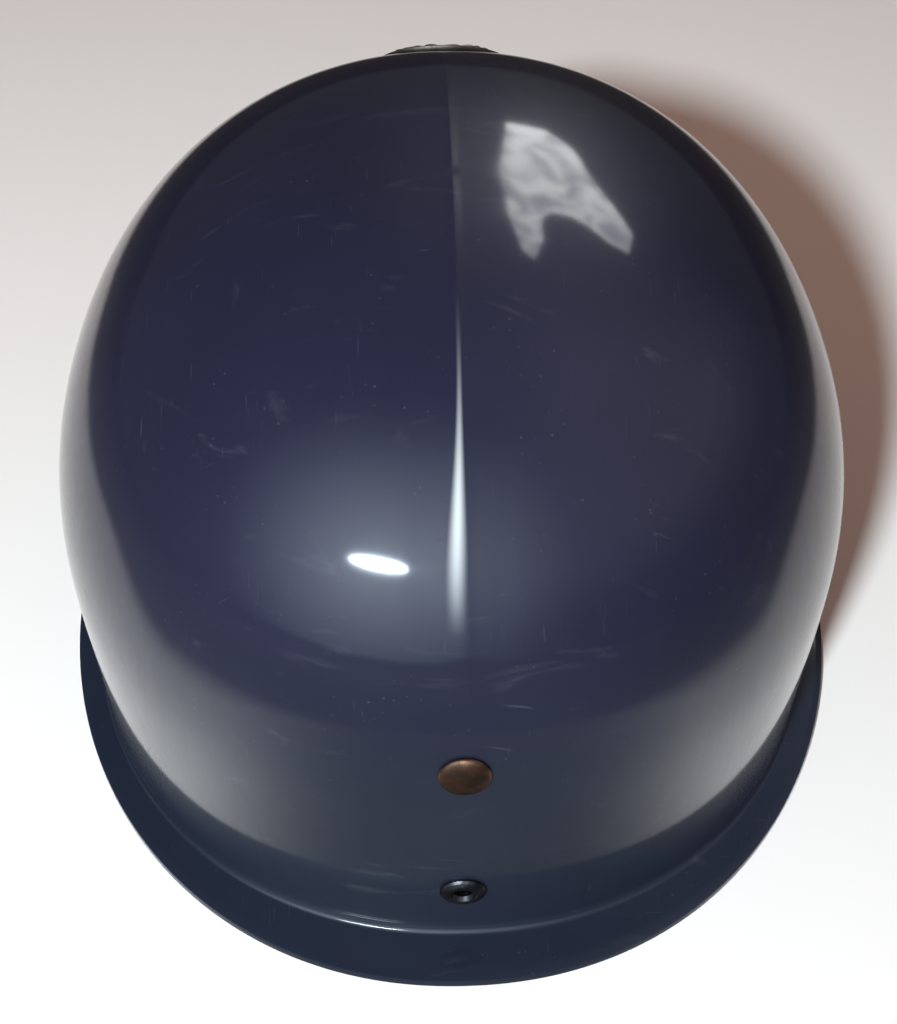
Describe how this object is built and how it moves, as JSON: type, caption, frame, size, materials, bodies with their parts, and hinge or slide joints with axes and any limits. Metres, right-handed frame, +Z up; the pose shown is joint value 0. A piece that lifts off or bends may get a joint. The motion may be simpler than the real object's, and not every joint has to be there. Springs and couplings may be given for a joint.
{
  "type": "riot helmet",
  "caption": "Glossy dark blue riot helmet with a flared brim, low crown rib, front badge, webbing cradle, leather headband and a buckled chin strap stowed inside the rim.",
  "frame": {"origin": "middle of the brim's outline, on the plane that the brim rests on", "axes": "+Z up through the crown, -Y towards the front and the badge, +X towards the wearer's left"},
  "size_m": [0.24, 0.284, 0.1708],
  "materials": {
    "shell": "deep gloss moulded plastic, near-black navy blue, faint scratches and haze",
    "badge": "aged bronze relief with a worn silvery crest",
    "black_rivet": "black lacquered cap, satin",
    "brass": "copper-toned brass cap, polished and slightly tarnished",
    "steel": "plain zinc-plated steel",
    "eyelet": "dark oxidised metal with a bright rolled rim",
    "foam": "closed-cell foam, fine beads, matt",
    "pad": "soft black leather over foam",
    "webbing": "woven cotton webbing with a ribbed weave",
    "band": "flexible black plastic band, satin",
    "leather": "brown vegetable-tanned leather, fine grain",
    "strap": "black strap leather with stitched edges",
    "nickel": "nickel-plated steel, lightly brushed"
  },
  "bodies": {
    "helmet": {"shell": "shell", "badge": "badge", "badge_nuts": "brass", "side_rivet_left": "black_rivet", "side_rivet_right": "black_rivet", "front_rivet": "brass", "rear_rivet": "brass", "rivet_washers": "steel", "rear_eyelet": "eyelet", "eyelet_washer": "steel", "strap_bracket_left": "steel", "strap_bracket_right": "steel", "pivot_stud_left": "steel", "pivot_stud_right": "steel", "crown_liner": "foam", "crown_pad": "pad", "cradle_cross_strap": "webbing", "cradle_long_strap": "webbing", "carrier_band": "band", "sweatband": "leather", "brow_pad": "pad", "front_tab": "leather", "rear_tab": "leather", "adjuster_strap": "leather"},
    "chin_strap": {"end_plate_left": "nickel", "end_plate_right": "nickel", "chin_strap_short": "strap", "chin_strap_long": "strap", "strap_tip": "nickel", "chin_cup": "strap", "buckle_frame": "nickel", "buckle_pin": "nickel"},
    "buckle_lever": {"buckle_lever": "nickel"},
    "strap_keeper": {"strap_keeper": "strap"},
    "adjuster_slide": {"adjuster_slide": "nickel"}
  },
  "joints": [
    {"name": "chin_swing", "type": "hinge", "parent": "helmet", "child": "chin_strap", "pos_m": [0, 0.03, 0.015], "axis": [1, 0, 0], "range_deg": [0, 105]},
    {"name": "lever_open", "type": "hinge", "parent": "chin_strap", "child": "buckle_lever", "pos_m": [0.0882, -0.02881, 0.01653], "axis": [0, 0.0259, 0.9997], "range_deg": [0, 85]},
    {"name": "keeper_slide", "type": "slide", "parent": "chin_strap", "child": "strap_keeper", "axis": [-0.3256, -0.9452, 0.0245], "range_m": [-0.01, 0.002]},
    {"name": "slide_turn", "type": "hinge", "parent": "helmet", "child": "adjuster_slide", "pos_m": [0, 0.009, 0], "axis": [0, 0, 1], "range_deg": [-8, 8]}
  ]
}
